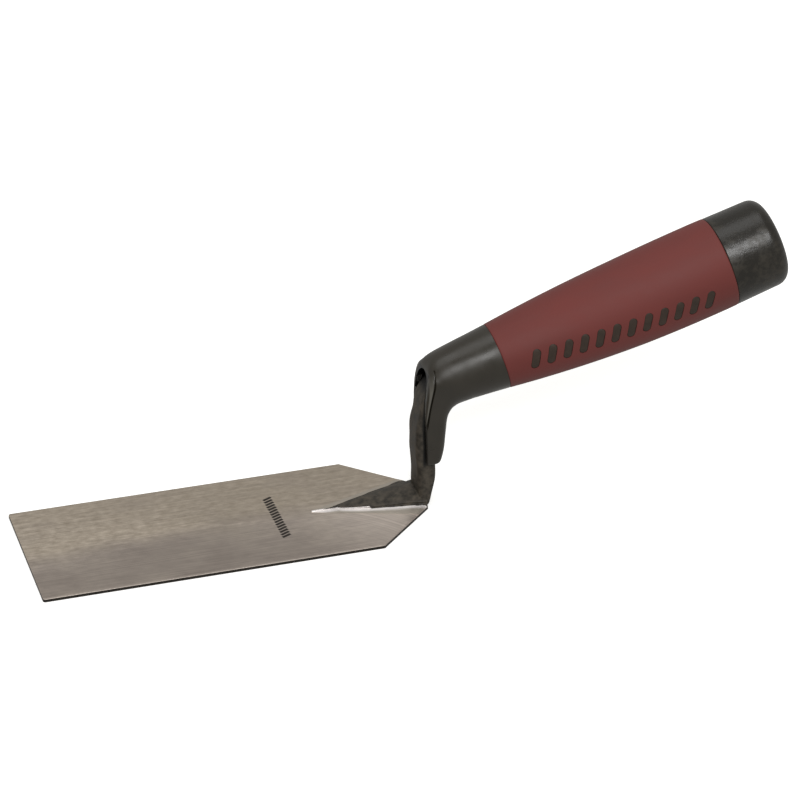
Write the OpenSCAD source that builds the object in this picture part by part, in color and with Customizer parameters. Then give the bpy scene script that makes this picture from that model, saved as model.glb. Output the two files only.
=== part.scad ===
// Margin trowel: a ground steel blade on a forged, cranked shank, in a moulded handle.
// The origin is the middle of the blade's working face. +X runs to the handle, +Z is up,
// and the trowel is the same on both sides of the plane y = 0.

/* [Blade] */
// Length of the blade, toe to heel
blade_len = 127; // [100:1:160]
// Width of the blade
blade_w = 50.8; // [38:0.1:64]
// Thickness of the blade
blade_t = 1.1; // [0.9:0.1:2]
// Length of the two tapers that narrow the blade at its heel
heel_taper = 19.7; // [14:0.1:26]
// Width of the blade at its heel
heel_w = 14.4; // [12:0.1:18]
// Radius of the blade's corners
corner_r = 0.8; // [0.4:0.1:2]

/* [Shank] */
// Length of the forged foot that lies on the blade, with the ground run-out at its tip
foot_len = 36; // [30:1:42]
// Height of the foot's crown above the blade, where the riser starts
foot_h = 3.3; // [2.6:0.1:4]
// Width of the riser
riser_w = 10; // [9:0.1:11]
// Thickness of the riser, front to back
riser_t = 6; // [5.4:0.1:6.4]
// Length of the tang inside the handle, from the crank
tang_len = 74; // [60:1:80]

/* [Handle] */
// Upward pitch of the handle, in degrees
handle_pitch = 17.2; // [14:0.1:20]
// Height of the handle's axis above the working face, at the crank
axis_z = 39.9; // [38:0.1:42]
// Length of the handle along its axis, from the crank to the butt
handle_len = 119.5; // [114:0.5:124]
// Radius of the collar in front of the grip
collar_r = 9; // [8.8:0.1:9.4]
// Radius of the handle where the grip starts
neck_r = 10.6; // [10.4:0.1:11]
// Radius of the handle at its thickest
swell_r = 14.55; // [13.6:0.05:15.5]
// Radius of the straight band on the butt cap
butt_r = 14.5; // [13.5:0.1:14.6]
// Length of the straight band on the butt cap
band_len = 9; // [6:0.5:11]
// Radius of the rounding at the butt's rim
butt_round = 4.2; // [3:0.1:5]

/* [Grip] */
// Where the soft grip starts, along the handle
grip_start = 24.5; // [23:0.1:27]
// Where the soft grip ends, along the handle
grip_end = 101; // [96:0.1:103]
// Thickness of the soft grip
grip_t = 2.4; // [1.8:0.1:2.6]
// How far the grip's skin stands proud of the hard parts
grip_proud = 0.15; // [0:0.05:0.4]

/* [Inlay] */
// Number of hard bars that show through each side of the grip
bar_count = 12; // [6:1:14]
// Distance between the bars
bar_pitch = 5.2; // [4.5:0.1:5.6]
// Width of a bar
bar_w = 2.6; // [1.5:0.1:3]
// Height of a bar
bar_h = 6.6; // [4:0.1:8]
// Lean of the bars, in degrees
bar_lean = 24; // [0:1:35]

/* [Guard] */
// Width of the finger guard behind the riser
guard_w = 13; // [12.6:0.1:14]
// Height of the guard's tip above the working face
guard_z = 15; // [13:0.1:17]
// Gap between the riser and the channel that it stands in
channel_gap = 0.1; // [0.05:0.05:0.2]

/* [Hidden] */
$fn = 96;

// The axis leaves the crank here, in the plane y = 0.
axis_x = 64;
heel_x = blade_len / 2;

// Where the thickest part of the handle is, and how fast the grip swells towards it.
swell_s = 94;
swell_power = 2.12;

// The strokes stamped in the blade.
stamp_x = 16.2;
stamp_strokes = 16;
stamp_pitch = 1.5;
stamp_lean = 25;
stamp_w = 3;
stamp_stroke = 0.8;
stamp_depth = 0.2;

// The riser's middle line, as [x, z, thickness, width]. It leans forward a little at
// mid-height, where the forging was drawn out, and turns into the tang at the crank.
crank_r = 9;
crank_lead = 0.5;
crank_x = axis_x + crank_lead;
crank_z = axis_z + crank_lead * tan(handle_pitch);
crank_run = crank_r * tan((90 - handle_pitch) / 2);
RISER = [
    [62.6, 0.5, riser_t * 0.5, riser_w + 3],
    [63.4, 3.6, riser_t * 0.7, riser_w + 1.6],
    [63.8, 7.5, riser_t * 0.92, riser_w + 0.4],
    [64, 12, riser_t, riser_w],
    [63.4, 18, riser_t, riser_w],
    [63.3, 24, riser_t, riser_w],
    [63.5, 28, riser_t, riser_w],
    [64.3, 31.5, riser_t, riser_w],
    [crank_x, crank_z - crank_run, riser_t, riser_w]
];
riser_corner = 2;

// The tang's end sizes and its barbs.
tang_t = 3.6;
tang_w = 6.4;
barb_count = 5;
barb_pitch = 9;
barb_depth = 0.7;

// The core inside the grip, and the spigot that the butt cap is pressed on.
spigot_r = 8;
spigot_len = 12;
cap_face = 0.4;
rim_draw = 0.05;
socket_gap = 0.15;

// The neck of the core, as cross-sections [front x, front z, rear x, rear z, width, rear
// corner radius, front corner radius], from the guard's tip up round the crank.
NECK = [
    [63.6, guard_z, 67.6, guard_z, guard_w - 2.4, 1.6, 0.4],
    [63.3, guard_z + 0.5, 68.4, guard_z + 0.8, guard_w - 0.8, 2.1, 0.6],
    [63.1, guard_z + 4, 69.3, guard_z + 5, guard_w - 0.2, 2.4, 0.7],
    [62.8, 25, 69.8, 26, guard_w, 2.6, 0.7],
    [62.6, 31, 70.4, 31, guard_w + 0.2, 3, 0.8],
    [62.5, 36, 71.9, 33.5, guard_w + 0.6, 4, 1],
    [62.8, 40.5, 73.8, 34.6, guard_w + 1.6, 5.4, 1.2],
    [63.5, 44.8, 75.6, 34.9, guard_w + 2.8, 6.8, 2.6],
    [64.5, 48.2, 77.6, 35.1, guard_w + 4.1, 8.2, 6.8],
    [67.2, 50.7, 79.4, 35.4, guard_w + 5, 8.9, 8.9]
];
collar_start = 20;
neck_end = 22;
lip_z = 38;
mouth_z = 46.3;
mouth_r = riser_w / 2 - 0.2;
groove_w = 0.5;
groove_depth = 0.7;

// Where the row of bars is centred, how far it lies below the axis there, how much it
// falls towards the butt, and how deep in the core the bars are rooted.
bar_mid = (grip_start + grip_end) / 2;
bar_drop = 0.6;
bar_fall = 0.06;
bar_root = 6;

function mix(a, b, t) = a + (b - a) * t;

// Radius of the handle's outside at a distance s along its axis: a collar that flares a
// little, a grip that swells to its thickest, and a butt that draws in again.
function collar_radius(s) = collar_r + (neck_r - collar_r) * pow(max(0, (s - 6) / (grip_start - 6)), 1.2);
function grip_radius(s) = swell_r - (swell_r - neck_r) * pow((swell_s - s) / (swell_s - grip_start), swell_power);
function butt_radius(s) = mix(swell_r, butt_r, min(1, (s - swell_s) / (grip_end - swell_s)));
function handle_radius(s) = s < grip_start ? collar_radius(s) : s < swell_s ? grip_radius(s) : butt_radius(s);

// The same, as points [radius, distance] with a given number of steps.
function outline(s0, s1, steps, extra = 0) =
    [for (i = [0:steps]) let (s = mix(s0, s1, i / steps)) [handle_radius(s) + extra, s]];

// A rounded rectangle as points, d thick by w wide, with corner radius c at the rear (+x)
// and corner radius cf at the front.
function rounded_rect(d, w, c, cf, k = 4) =
    [for (q = [0:3]) for (i = [0:k]) let (
        a = 90 * (q + i / k),
        rear = q == 0 || q == 3,
        r = rear ? c : cf,
        sx = rear ? 1 : -1,
        sy = q < 2 ? 1 : -1)
        [sx * (d / 2 - r) + r * cos(a), sy * (w / 2 - r) + r * sin(a)]];

// A smooth curve through a list of rows of numbers (Catmull-Rom), n steps to a span.
function smooth_at(p0, p1, p2, p3, t) =
    0.5 * (2 * p1 + (p2 - p0) * t + (2 * p0 - 5 * p1 + 4 * p2 - p3) * t * t
    + (3 * p1 - p0 - 3 * p2 + p3) * t * t * t);
function smooth_rows(rows, n) = let (m = len(rows) - 1) concat(
    [for (i = [0:m - 1]) for (j = [0:n - 1])
        smooth_at(rows[max(i - 1, 0)], rows[i], rows[i + 1], rows[min(i + 2, m)], j / n)],
    [rows[m]]);

// A closed solid through rings of points, each ring with the same number of points. The
// points of a ring run anticlockwise, seen from the last ring.
module skin(rings) {
    k = len(rings[0]);
    m = len(rings);
    sides = [for (i = [0:m - 2]) for (j = [0:k - 1])
        [i * k + j, (i + 1) * k + j, (i + 1) * k + (j + 1) % k, i * k + (j + 1) % k]];
    ends = [[for (j = [0:k - 1]) j], [for (j = [k - 1:-1:0]) (m - 1) * k + j]];
    polyhedron([for (r = rings) each r], concat(sides, ends), convexity = 6);
}

// A ring round a middle line in the plane y = 0. u is the direction across the line.
function ring(x, z, ux, uz, section) = [for (p = section) [x + p[0] * ux, p[1], z + p[0] * uz]];

// Puts a shape on the handle's axis, with its Z along the axis and its X pointing down.
module on_axis() {
    translate([axis_x, 0, axis_z])
        rotate([0, 90 - handle_pitch, 0])
            children();
}

module blade() {
    taper_y = heel_w / 2;
    color("silver")
        difference() {
            linear_extrude(blade_t)
                polygon([
                    [heel_x, -taper_y], [heel_x, taper_y],
                    [heel_x - heel_taper, blade_w / 2],
                    each toe_corner(1),
                    each toe_corner(-1),
                    [heel_x - heel_taper, -blade_w / 2]
                ]);
            blade_stamp();
        }
}

// The rounded toe corner on one side, listed so that the outline runs on round the toe.
function toe_corner(side) =
    [for (i = [0:4]) let (a = side > 0 ? 90 + 22.5 * i : 180 + 22.5 * i)
        [corner_r - heel_x + corner_r * cos(a), side * (blade_w / 2 - corner_r) + corner_r * sin(a)]];

// A plain stamped panel: a row of short strokes across the blade.
module blade_stamp() {
    for (i = [0:stamp_strokes - 1])
        translate([stamp_x, (i - (stamp_strokes - 1) / 2) * stamp_pitch, blade_t - stamp_depth / 2 + 0.5])
            rotate([0, 0, stamp_lean])
                cube([stamp_w, stamp_stroke, stamp_depth + 1], center = true);
}

module shank() {
    color("dimgray") {
        foot();
        difference() {
            skin(concat(riser_rings(0), crank_rings(0), tang_rings()));
            translate([heel_x - 10, -blade_w / 2, -1])
                cube([10, blade_w, 1 + blade_t]);
            for (i = [0:barb_count - 1])
                on_axis()
                    translate([0, 0, tang_len - 8 - i * barb_pitch])
                        barb_notches();
        }
    }
}

// The steel's section, with the same corner all round.
function steel_section(d, w, c) = rounded_rect(d, w, c, c);

// The riser's rings, larger all round by a gap when they cut the channel that it stands in.
function riser_rings(gap) = let (rows = smooth_rows(RISER, 2), m = len(rows) - 1)
    [for (i = [0:m - 1]) let (
        a = rows[max(i - 1, 0)],
        b = rows[i + 1],
        r = rows[i],
        dx = b[0] - a[0],
        dz = b[1] - a[1],
        l = norm([dx, dz]))
        ring(r[0], r[1], dz / l, -dx / l,
            steel_section(r[2] + 2 * gap, r[3] + 2 * gap, min(riser_corner, r[2] / 2 - 0.2)))];

// The bend from the riser, which stands upright, to the tang, which lies on the axis.
function crank_rings(gap) = [for (i = [0:6]) let (a = i / 6 * (90 - handle_pitch))
    ring(crank_x + crank_r * (1 - cos(a)), crank_z - crank_run + crank_r * sin(a), cos(a), -sin(a),
        steel_section(riser_t + 2 * gap, riser_w + 2 * gap, riser_corner))];

// Where the bend ends and the straight tang starts, along the axis.
tang_s0 = crank_lead / cos(handle_pitch) + crank_run;
function tang_rings() = [for (s = [tang_s0 + 2, tang_len]) let (t = (s - tang_s0) / (tang_len - tang_s0))
    ring(axis_x + s * cos(handle_pitch), axis_z + s * sin(handle_pitch), sin(handle_pitch), -cos(handle_pitch),
        steel_section(mix(riser_t, tang_t, t), mix(riser_w, tang_w, t), mix(riser_corner, 0.6, t)))];

// Two notches that bite into the tang's narrow sides.
module barb_notches() {
    for (side = [-1, 1])
        translate([0, side * (tang_w / 2 + 1.6), 0])
            rotate([30 * side, 0, 0])
                cube([riser_t + 2, 2 + barb_depth, 1.4], center = true);
}

// The wedge-shaped foot: a crowned ridge with steep flanks, which a ground fillet joins
// to the blade. The ridge starts a little behind the tip, where there is only fillet.
foot_tip_x = heel_x - foot_len;
ridge_x = foot_tip_x + 8.5;
function foot_share(x) = max(0, (x - ridge_x) / (heel_x - ridge_x));
function ridge_half(x) = 0.4 + (heel_w / 2 - 0.5) * pow(foot_share(x), 0.7);
function blade_half(x) = heel_w / 2 + (blade_w - heel_w) / 2 * (heel_x - x) / heel_taper;
function fillet_half(x) = min(0.5 + 0.33 * (x - foot_tip_x), blade_half(x) - 0.1);
function foot_ring(x) = let (
        crown = mix(0.3, foot_h, foot_share(x)),
        half = min(ridge_half(x), fillet_half(x) - 0.05),
        side = [[fillet_half(x), 0.04], [half, 0.3 * crown], [half - 0.1 * crown, 0.65 * crown], [half * 0.45, 0.93 * crown]])
    concat(
        [[x, fillet_half(x), blade_t]],
        [for (p = side) [x, p[0], blade_t + p[1]]],
        [[x, 0, blade_t + crown]],
        [for (i = [3:-1:0]) [x, -side[i][0], blade_t + side[i][1]]],
        [[x, -fillet_half(x), blade_t]]);
module foot() {
    steps = 12;
    skin([for (i = [0:steps]) foot_ring(mix(foot_tip_x, heel_x - 0.2, i / steps))]);
}

module handle_core() {
    color([0.1, 0.1, 0.1])
        difference() {
            union() {
                skin(neck_rings());
                on_axis()
                    core_body();
                inlay_bars()
                    on_axis()
                        rotate_extrude()
                            polygon(concat([[0, grip_end]], [[0, grip_start]], outline(grip_start, grip_end, 14)));
            }
            skin(concat(riser_rings(channel_gap), crank_rings(channel_gap)));
            tang_socket();
            mouth();
            side_grooves();
        }
}

// The neck's rings. Its last ones lie on the handle's axis, a little inside the collar.
function neck_rings() = let (
        collar = [for (s = [13, 18, neck_end]) collar_row(s, handle_radius(s) - 0.05, 0.9 * (1 - s / grip_start))],
        rows = smooth_rows(concat(NECK, collar), 2))
    [for (r = rows) let (d = norm([r[0] - r[2], r[1] - r[3]]))
        ring((r[0] + r[2]) / 2, (r[1] + r[3]) / 2, (r[2] - r[0]) / d, (r[3] - r[1]) / d,
            rounded_rect(d, r[4], neck_corner(r[5], d, r[4]), neck_corner(r[6], d, r[4]), 5))];
function neck_corner(c, d, w) = min(c, d / 2 - 0.05, w / 2 - 0.05);

// A row for a round section of radius r across the axis, lifted a little above it.
function collar_row(s, r, lift) = let (
        c = cos(handle_pitch),
        n = sin(handle_pitch),
        x = axis_x + s * c - lift * n,
        z = axis_z + s * n + lift * c)
    [x - r * n, z + r * c, x + r * n, z - r * c, 2 * r, r, r];

// The collar, the spine under the grip and the spigot for the butt cap, along the axis.
module core_body() {
    spine = [for (p = outline(grip_start, grip_end, 14)) [p[0] - grip_t, p[1]]];
    rotate_extrude()
        polygon(concat(
            [[0, collar_start]],
            outline(collar_start, grip_start, 2),
            spine,
            [[spigot_r, grip_end], [spigot_r, grip_end + spigot_len - 1],
             [spigot_r - 1, grip_end + spigot_len], [0, grip_end + spigot_len]]));
}

// Leaning bars on both sides of the grip, cut to the shape that is handed in.
module inlay_bars() {
    intersection() {
        on_axis()
            bar_row();
        children();
    }
}

// The row of bars, each driven in sideways. A bar has round ends.
module bar_row() {
    for (side = [-1, 1])
        for (i = [0:bar_count - 1]) let (along = (i - (bar_count - 1) / 2) * bar_pitch)
            translate([bar_drop + bar_fall * along, 0, bar_mid + along])
                rotate([-90 * side, 0, 0])
                    translate([0, 0, bar_root])
                        linear_extrude(swell_r)
                            rotate([0, 0, side * bar_lean])
                                stadium(bar_h, bar_w);
}

module stadium(length, width) {
    square([length - width, width], center = true);
    for (side = [-1, 1])
        translate([side * (length - width) / 2, 0])
            circle(d = width, $fn = 32);
}

// The blind hole for the tang, a little larger than the steel.
module tang_socket() {
    w0 = riser_t / 2 + socket_gap;
    w1 = tang_t / 2 + socket_gap;
    intersection() {
        on_axis()
            rotate([90, 0, 0])
                linear_extrude(riser_w + 2 * socket_gap, center = true)
                    polygon([[-w0, tang_s0 - 1], [w0, tang_s0 - 1], [w1, tang_len + 1], [-w1, tang_len + 1]]);
        on_axis()
            rotate([90, 0, 90])
                linear_extrude(20, center = true)
                    polygon([
                        [-riser_w / 2 - socket_gap, tang_s0 - 1], [riser_w / 2 + socket_gap, tang_s0 - 1],
                        [tang_w / 2 + socket_gap, tang_len + 1], [-tang_w / 2 - socket_gap, tang_len + 1]
                    ]);
    }
}

// The open mouth in front of the crank: a slot with a round top, seen from the toe.
module mouth() {
    front_x = 58;
    translate([front_x, 0, 0])
        rotate([90, 0, 90])
            linear_extrude(crank_x + 5 - front_x) {
                translate([0, mouth_z - mouth_r])
                    circle(r = mouth_r);
                translate([-mouth_r, lip_z])
                    square([2 * mouth_r, mouth_z - mouth_r - lip_z]);
            }
}

// A fine groove down each side, between the lip that holds the steel and the guard.
module side_grooves() {
    for (side = [-1, 1])
        translate([64.1, side * (guard_w / 2 + 0.6), 38.5])
            rotate([0, 7.2, 0])
                cube([groove_w, 2 * groove_depth + 1.2, 20], center = true);
}

module grip_sleeve() {
    inner = [for (p = outline(grip_start, grip_end, 14)) [p[0] - grip_t, p[1]]];
    outer = outline(grip_start, grip_end, 14, grip_proud);
    m = len(outer) - 1;
    edge = 0.6;
    skin_line = concat(
        [[outer[0][0] - edge, grip_start], [outer[0][0], grip_start + edge]],
        [for (i = [1:m - 1]) outer[i]],
        [[outer[m][0], grip_end - edge], [outer[m][0] - edge, grip_end]]);
    color([0.45, 0.14, 0.16])
        difference() {
            on_axis()
                rotate_extrude()
                    polygon(concat(skin_line, [for (i = [m:-1:0]) inner[i]]));
            on_axis()
                bar_row();
        }
}

module butt_cap() {
    rim_s = handle_len - butt_round;
    rim_r = butt_r - rim_draw;
    rim = [for (i = [0:6]) let (a = 90 * i / 6)
        [rim_r - butt_round + butt_round * cos(a), rim_s + butt_round * sin(a)]];
    color([0.12, 0.12, 0.12])
        on_axis()
            difference() {
                rotate_extrude()
                    polygon(concat(
                        [[0, grip_end], [butt_r, grip_end], [butt_r, grip_end + band_len]],
                        rim,
                        [[0, handle_len]]));
                translate([0, 0, grip_end - 1])
                    cylinder(r = spigot_r, h = spigot_len + 1 + cap_face);
            }
}

blade();
shank();
handle_core();
grip_sleeve();
butt_cap();
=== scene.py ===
"""A margin trowel: a ground steel blade, a forged shank and a two-colour moulded handle.

Lengths in this file are millimetres until a mesh is made, and metres from then on.
"""

import bmesh
import bpy
import numpy as np
from bpy.props import FloatProperty, FloatVectorProperty, IntProperty, PointerProperty
from mathutils import Matrix


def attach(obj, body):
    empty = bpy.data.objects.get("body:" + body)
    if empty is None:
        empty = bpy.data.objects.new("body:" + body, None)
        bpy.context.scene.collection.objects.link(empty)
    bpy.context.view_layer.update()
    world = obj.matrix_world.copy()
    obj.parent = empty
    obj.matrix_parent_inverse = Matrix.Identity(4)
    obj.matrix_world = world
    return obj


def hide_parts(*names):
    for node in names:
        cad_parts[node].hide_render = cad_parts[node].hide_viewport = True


bl_info = {
    "name": "Margin trowel",
    "version": (1, 0, 0),
    "blender": (4, 5, 0),
    "location": "3D View > Sidebar > Trowel",
    "description": "Builds the visible pieces of a margin trowel around its fixed frame",
    "category": "Add Mesh",
}

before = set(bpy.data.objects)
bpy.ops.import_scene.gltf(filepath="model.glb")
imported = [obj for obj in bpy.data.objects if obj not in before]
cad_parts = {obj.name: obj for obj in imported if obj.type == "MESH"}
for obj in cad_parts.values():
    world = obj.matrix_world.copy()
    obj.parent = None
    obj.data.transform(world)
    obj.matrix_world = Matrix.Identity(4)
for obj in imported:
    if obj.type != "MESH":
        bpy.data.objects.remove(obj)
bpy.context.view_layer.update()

MM = 0.001
WELD = 0.0005  # points closer than this are one, in millimetres
BODY = "root"

# Where the handle's axis leaves the crank, its pitch, and its two directions in x and z.
AXIS_X = 64.0
AXIS_Z = 39.9
PITCH = np.radians(17.2)
ALONG = np.array([np.cos(PITCH), np.sin(PITCH)])
UPWARD = np.array([-np.sin(PITCH), np.cos(PITCH)])

HEEL_X = 63.5
BLADE_T = 1.1
GRIP_START = 24.5
GRIP_END = 101.0
SWELL_S = 94.0
HANDLE_END = 119.5
RISER_T = 6.0
RISER_W = 10.0
CRANK_R = 9.0
TANG_END = 74.0

# The shank's rise, as rows of x, z, thickness and width along its middle line.
CRANK_LEAD = 0.5
CRANK_X = AXIS_X + CRANK_LEAD
CRANK_Z = AXIS_Z + CRANK_LEAD * np.tan(PITCH)
CRANK_RUN = CRANK_R * np.tan((np.pi / 2 - PITCH) / 2)
RISER = [
    [62.6, 0.5, 3, 13],
    [63.4, 3.6, 4.2, 11.6],
    [63.8, 7.5, 5.52, 10.4],
    [64, 12, 6, 10],
    [63.4, 18, 6, 10],
    [63.3, 24, 6, 10],
    [63.5, 28, 6, 10],
    [64.3, 31.5, 6, 10],
    [CRANK_X, CRANK_Z - CRANK_RUN, 6, 10],
]

# The handle's neck, as rows of front x, front z, rear x, rear z, width, and the radii of
# its rear and front corners, from the guard's tip up round the crank.
NECK = [
    [63.6, 15, 67.6, 15, 10.6, 1.6, 0.4],
    [63.3, 15.5, 68.4, 15.8, 12.2, 2.1, 0.6],
    [63.1, 19, 69.3, 20, 12.8, 2.4, 0.7],
    [62.8, 25, 69.8, 26, 13, 2.6, 0.7],
    [62.6, 31, 70.4, 31, 13.2, 3, 0.8],
    [62.5, 36, 71.9, 33.5, 13.6, 4, 1.0],
    [62.8, 40.5, 73.8, 34.6, 14.6, 5.4, 1.2],
    [63.5, 44.8, 75.6, 34.9, 15.8, 6.8, 2.6],
    [64.5, 48.2, 77.6, 35.1, 17.1, 8.2, 6.8],
    [67.2, 50.7, 79.4, 35.4, 18, 8.9, 8.9],
]
MOUTH_R = 4.8
MOUTH_TOP = 46.3
MOUTH_FOOT = 38.0

# The groove beside the steel, the front of the lip's painted highlight strip and the guard's edge
# under painted shade, as lines seen from the side: x at the working face, and x gained for each unit of z.
GROOVE_LEAN = np.tan(np.radians(7.2))
GROOVE_FOOT = 62.95 - 28.5 * GROOVE_LEAN
LIP_LEAN = 0.0534
LIP_FOOT = 61.0
EDGE_LEAN = -0.048
EDGE_FOOT = 64.2
# How high the painted highlight strip and the painted shade on the edge reach.
LIP_TOP = 47.0
EDGE_TOP = 31.5
# The middle of the wheel that dressed the blade's heel, in metres.
DRESSING_CENTRE = (0.002, -0.058, 0.0)


def linear(code):
    """An sRGB colour written as #rrggbb, as the linear colour that the renderer works in."""
    share = np.array([int(code[i : i + 2], 16) for i in (1, 3, 5)]) / 255
    low = share / 12.92
    high = ((share + 0.055) / 1.055) ** 2.4
    return tuple(float(c) for c in np.where(share <= 0.04045, low, high))


def ease(value, low, high):
    """0 below low, 1 above high, and a cubic with level ends between them."""
    t = np.clip((value - low) / (high - low), 0, 1)
    return t * t * (3 - 2 * t)


# --- Sizes and colours ---------------------------------------------------------------------


class BladeSizes(bpy.types.PropertyGroup):
    """The blade's sizes and colour"""

    edge: FloatProperty(
        name="Edge rounding", description="Radius of the worn edges, in millimetres", default=0.16, min=0.05
    )
    stroke_depth: FloatProperty(
        name="Stroke depth", description="Depth of the stamped strokes, in millimetres", default=0.2, min=0
    )
    strokes: IntProperty(
        name="Strokes", description="Number of stamped strokes", default=16, min=1
    )
    steel: FloatVectorProperty(
        name="Ground steel", description="Colour of the ground face", subtype="COLOR", size=3,
        default=linear("#d0c5b8"),
    )


class ShankSizes(bpy.types.PropertyGroup):
    """The shank's finish"""

    unevenness: FloatProperty(
        name="Unevenness", description="How far the forged faces wander, in millimetres", default=0.07, min=0
    )
    coat: FloatVectorProperty(
        name="Forge black", description="Colour of the coated steel", subtype="COLOR", size=3,
        default=linear("#39342d"),
    )


class HandleSizes(bpy.types.PropertyGroup):
    """The sizes and colours of the core, the sleeve and the cap"""

    groove: FloatProperty(
        name="Groove depth", description="Depth of the groove beside the steel, in millimetres", default=0.9,
        min=0,
    )
    bars: IntProperty(
        name="Bars", description="Number of leaning bars on each side", default=12, min=1
    )
    sleeve: FloatProperty(
        name="Sleeve thickness", description="Thickness of the soft sleeve, in millimetres", default=2.4,
        min=0.5,
    )
    core_colour: FloatVectorProperty(
        name="Core colour", description="Colour of the hard plastic", subtype="COLOR", size=3,
        default=linear("#2b2720"),
    )
    grip_colour: FloatVectorProperty(
        name="Grip colour", description="Colour of the soft sleeve", subtype="COLOR", size=3,
        default=linear("#69302c"),
    )


class StageSizes(bpy.types.PropertyGroup):
    """The floor's colour"""

    floor: FloatVectorProperty(
        name="Floor colour", description="Colour of the floor", subtype="COLOR", size=3,
        default=linear("#fafaf8"),
    )


# --- Meshes --------------------------------------------------------------------------------


def facing_out(points, quads, triangles):
    """A closed skin, with its faces turned round as one if they point inwards: the volume
    under them, the sum of the triangles' triple products, then comes out negative."""
    fan = np.concatenate([quads[:, [0, 1, 2]], quads[:, [0, 2, 3]], triangles])
    a, b, c = points[fan[:, 0]], points[fan[:, 1]], points[fan[:, 2]]
    if np.einsum("ij,ij->", a, np.cross(b, c)) < 0:
        quads, triangles = quads[:, ::-1], triangles[:, ::-1]
    return points, quads, triangles


def piece(name, points, quads, triangles):
    """A smooth-shaded object from a closed skin in millimetres, with its faces outwards."""
    points, quads, triangles = facing_out(points, quads, triangles)
    mesh = bpy.data.meshes.new(name)
    mesh.from_pydata((points * MM).tolist(), [], quads.tolist() + triangles.tolist())
    mesh.polygons.foreach_set("use_smooth", np.ones(len(mesh.polygons), bool))
    mesh.update()
    made = bpy.data.objects.new(name, mesh)
    bpy.context.scene.collection.objects.link(made)
    return made


def skin(rings, steps=4):
    """A closed skin over a run of rings: its points, its quads between neighbours, and the
    triangles at its ends. Each end is filled by its ring drawn in towards its middle in even
    steps, to one point."""
    head = rings[0].mean(axis=0)
    tail = rings[-1].mean(axis=0)
    share = (np.arange(1, steps) / steps)[:, None, None]
    body = np.concatenate(
        [head + (rings[0] - head) * share, rings, tail + (rings[-1] - tail) * share[::-1]]
    )
    n, m = body.shape[:2]
    index = np.arange(n * m).reshape(n, m)
    after = np.roll(index, -1, axis=1)
    quads = np.stack([index[:-1], after[:-1], after[1:], index[1:]], axis=-1).reshape(-1, 4)
    front = np.stack([np.full(m, n * m), after[0], index[0]], axis=-1)
    back = np.stack([np.full(m, n * m + 1), index[-1], after[-1]], axis=-1)
    points = np.concatenate([body.reshape(-1, 3), [head], [tail]])
    return points, quads, np.concatenate([front, back])


def together(parts):
    """Several closed skins as one."""
    points, quads, triangles = zip(*parts)
    starts = np.cumsum([0] + [len(some) for some in points[:-1]])
    return (
        np.concatenate(points),
        np.concatenate([some + start for some, start in zip(quads, starts)]),
        np.concatenate([some + start for some, start in zip(triangles, starts)]),
    )


def smooth_rows(rows, n):
    """A Catmull-Rom curve through rows of numbers, with n steps to a span."""
    rows = np.array(rows, float)
    ends = np.concatenate([rows[:1], rows, rows[-1:]])
    t = (np.arange(n) / n)[None, :, None]
    p0, p1, p2, p3 = (ends[i : i + len(rows) - 1, None, :] for i in range(4))
    curve = 0.5 * (
        2 * p1
        + (p2 - p0) * t
        + (2 * p0 - 5 * p1 + 4 * p2 - p3) * t**2
        + (3 * p1 - p0 - 3 * p2 + p3) * t**3
    )
    return np.concatenate([curve.reshape(-1, rows.shape[1]), rows[-1:]])


def drawn_in(distance, radius):
    """How far an edge rounded as a quarter circle has drawn in, at a distance from its end."""
    return radius - np.sqrt(radius**2 - (radius - np.clip(distance, 0, radius)) ** 2)


def rounded(depth, width, rear, front, arc=8, flat=12):
    """Rounded rectangles, one to a row: four corner arcs joined by straight runs. The
    corners on the +depth side have radius rear, and the others front."""
    turn = np.linspace(0, np.pi / 2, arc + 1)
    corners = []
    for quarter, (sx, sy) in enumerate([(1, 1), (-1, 1), (-1, -1), (1, -1)]):
        r = (rear if sx > 0 else front)[:, None]
        angle = turn + quarter * np.pi / 2
        u = sx * (depth[:, None] / 2 - r) + r * np.cos(angle)
        v = sy * (width[:, None] / 2 - r) + r * np.sin(angle)
        corners.append(np.stack([u, v], axis=-1))
    share = (np.arange(1, flat) / flat)[None, :, None]
    runs = []
    for k in range(4):
        start, end = corners[k][:, -1:], corners[(k + 1) % 4][:, :1]
        runs += [corners[k], start + (end - start) * share]
    return np.concatenate(runs, axis=1)


def carried(middle, across, section):
    """Sections carried along a line in the plane y = 0: middle holds x and z, across the
    direction that a section's first coordinate takes, and its second one is y."""
    xz = middle[:, None, :] + section[:, :, :1] * across[:, None, :]
    return np.stack([xz[:, :, 0], section[:, :, 1], xz[:, :, 1]], axis=-1)


def settle(made):
    """Applies a piece's modifiers, by taking the mesh that they give."""
    bpy.context.view_layer.update()
    result = made.evaluated_get(bpy.context.evaluated_depsgraph_get())
    mesh = bpy.data.meshes.new_from_object(result)
    old = made.data
    made.modifiers.clear()
    made.data = mesh
    bpy.data.meshes.remove(old)
    mesh.name = made.name


def islands(made):
    """A number for each point's island: every edge hands on the lower of its two points'
    numbers until none changes."""
    ends = np.empty(len(made.data.edges) * 2, np.int32)
    made.data.edges.foreach_get("vertices", ends)
    near, far = ends.reshape(-1, 2).T
    label = np.arange(len(made.data.vertices))
    settled = False
    while not settled:
        before = label.copy()
        lower = np.minimum(label[near], label[far])
        np.minimum.at(label, near, lower)
        np.minimum.at(label, far, lower)
        label = label[label]
        settled = np.array_equal(before, label)
    return label


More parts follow.
